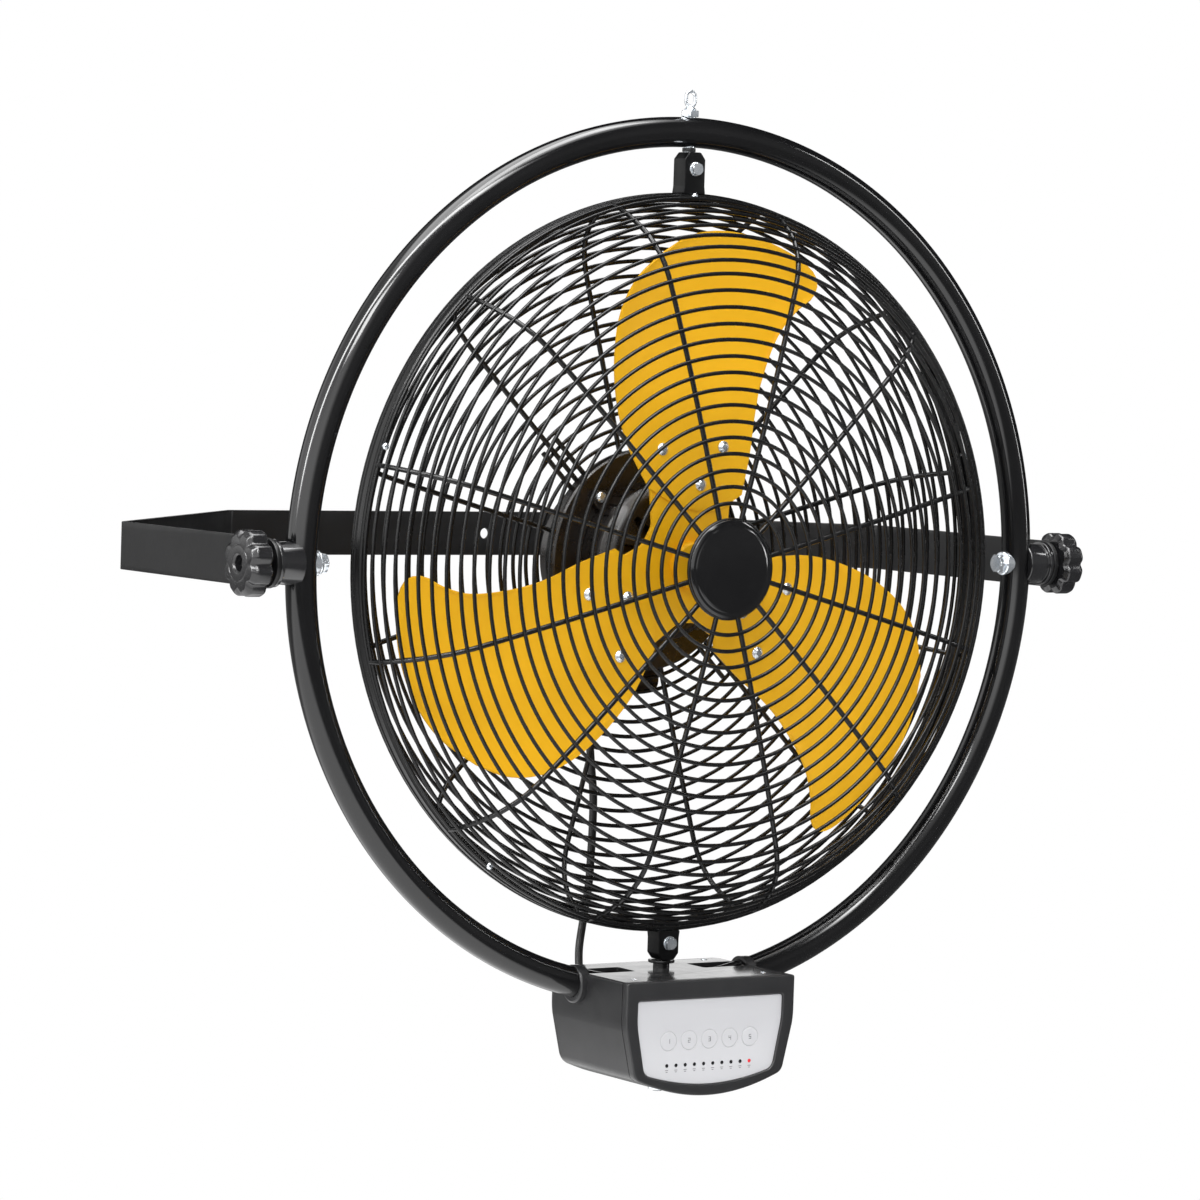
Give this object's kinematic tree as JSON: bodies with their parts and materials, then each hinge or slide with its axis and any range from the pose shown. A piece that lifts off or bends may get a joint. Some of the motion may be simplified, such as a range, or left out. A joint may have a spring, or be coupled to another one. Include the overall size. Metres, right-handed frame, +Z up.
{
  "type": "wall mounted fan",
  "caption": "Wall fan: a wire-guarded yellow-bladed head swings in a tube ring that tilts on a U-shaped wall bracket, with a push-button control box under it.",
  "frame": {"origin": "centre of the wall bracket's flat base, on the wall surface", "axes": "+Z up, +Y into the wall, so the fan stands out from the wall and blows along -Y; +X is to the right of someone facing it"},
  "size_m": [0.7294, 0.4759, 0.7333],
  "materials": {
    "black_powder_coat": "satin black powder coat",
    "guard_wire_paint": "satin black painted wire",
    "blade_yellow_paint": "semi-gloss amber yellow paint",
    "zinc_plated_steel": "bright zinc plated steel",
    "black_matte_plastic": "fine-grained black moulded plastic",
    "badge_gloss_plastic": "glossy black plastic",
    "panel_light_gray": "satin light gray control panel",
    "motor_black_paint": "black painted cast and pressed steel",
    "lead_rubber": "black rubber-sheathed lead",
    "drive_steel": "plain steel drive parts",
    "board_green": "green circuit board"
  },
  "bodies": {
    "wall_bracket": {"bracket_strap": "black_powder_coat"},
    "ring_frame": {"ring_tube": "black_powder_coat", "tilt_bolt_right": "zinc_plated_steel", "tilt_bolt_left": "zinc_plated_steel", "collar_right": "black_matte_plastic", "collar_left": "black_matte_plastic", "eye_bolt": "zinc_plated_steel", "eye_nut": "zinc_plated_steel", "top_lock_nut": "zinc_plated_steel", "top_bush": "black_matte_plastic", "box_shell": "black_matte_plastic", "box_bezel": "black_matte_plastic", "panel_plate": "panel_light_gray", "circuit_board": "board_green", "gear_motor": "drive_steel", "lead_inlet": "black_matte_plastic", "mains_inlet": "black_matte_plastic", "motor_lead": "lead_rubber"},
    "knob_right": {"knob_right": "black_matte_plastic"},
    "knob_left": {"knob_left": "black_matte_plastic"},
    "button_1": {"button_1": "panel_light_gray"},
    "button_2": {"button_2": "panel_light_gray"},
    "button_3": {"button_3": "panel_light_gray"},
    "button_4": {"button_4": "panel_light_gray"},
    "button_5": {"button_5": "panel_light_gray"},
    "drive_crank": {"drive_crank": "drive_steel"},
    "drive_link": {"drive_link": "drive_steel"},
    "fan_head": {"guard_rim": "black_powder_coat", "front_guard": "guard_wire_paint", "rear_guard": "guard_wire_paint", "guard_badge": "badge_gloss_plastic", "top_bracket": "black_powder_coat", "bottom_bracket": "black_powder_coat", "top_cross_bolt": "zinc_plated_steel", "bottom_cross_bolt": "zinc_plated_steel", "pivot_shaft": "black_powder_coat", "pivot_end_nut": "zinc_plated_steel", "drive_lever": "drive_steel", "motor_body": "motor_black_paint", "motor_plate": "motor_black_paint", "terminal_box": "motor_black_paint", "motor_gland": "black_matte_plastic"},
    "rotor": {"motor_shaft": "drive_steel", "blade_spider": "blade_yellow_paint", "blade_1": "blade_yellow_paint", "blade_2": "blade_yellow_paint", "blade_3": "blade_yellow_paint"}
  },
  "joints": [
    {"name": "tilt", "type": "hinge", "parent": "wall_bracket", "child": "ring_frame", "pos_m": [0, -0.4, 0], "axis": [1, 0, 0], "range_deg": [-180, 180]},
    {"name": "swing", "type": "hinge", "parent": "ring_frame", "child": "fan_head", "pos_m": [0, -0.4, 0], "axis": [0, 0, 1], "range_deg": [-45, 45], "deforming": ["motor_lead"]},
    {"name": "blade_spin", "type": "hinge", "parent": "fan_head", "child": "rotor", "pos_m": [0, -0.4, 0], "axis": [0, 1, 0], "continuous": true},
    {"name": "clamp_right", "type": "hinge", "parent": "ring_frame", "child": "knob_right", "pos_m": [0.36, -0.4, 0], "axis": [1, 0, 0], "range_deg": [0, 360]},
    {"name": "clamp_left", "type": "hinge", "parent": "ring_frame", "child": "knob_left", "pos_m": [-0.36, -0.4, 0], "axis": [-1, 0, 0], "range_deg": [0, 360]},
    {"name": "press_1", "type": "slide", "parent": "ring_frame", "child": "button_1", "axis": [0, 1, 0], "range_m": [0, 0.0008], "stiffness_N_per_m": 300, "springref_m": -0.0004},
    {"name": "press_2", "type": "slide", "parent": "ring_frame", "child": "button_2", "axis": [0, 1, 0], "range_m": [0, 0.0008], "stiffness_N_per_m": 300, "springref_m": -0.0004},
    {"name": "press_3", "type": "slide", "parent": "ring_frame", "child": "button_3", "axis": [0, 1, 0], "range_m": [0, 0.0008], "stiffness_N_per_m": 300, "springref_m": -0.0004},
    {"name": "press_4", "type": "slide", "parent": "ring_frame", "child": "button_4", "axis": [0, 1, 0], "range_m": [0, 0.0008], "stiffness_N_per_m": 300, "springref_m": -0.0004},
    {"name": "press_5", "type": "slide", "parent": "ring_frame", "child": "button_5", "axis": [0, 1, 0], "range_m": [0, 0.0008], "stiffness_N_per_m": 300, "springref_m": -0.0004},
    {"name": "crank_turn", "type": "hinge", "parent": "ring_frame", "child": "drive_crank", "pos_m": [-0.038, -0.4, -0.33], "axis": [0, 0, 1], "range_deg": [-45, 45]},
    {"name": "link_pin", "type": "hinge", "parent": "drive_crank", "child": "drive_link", "pos_m": [-0.038, -0.416, -0.336], "axis": [0, 0, 1], "range_deg": [-45, 45]}
  ],
  "couplings": [
    {"joint": "crank_turn", "follows": "swing", "ratio": 1},
    {"joint": "link_pin", "follows": "swing", "ratio": -1}
  ]
}
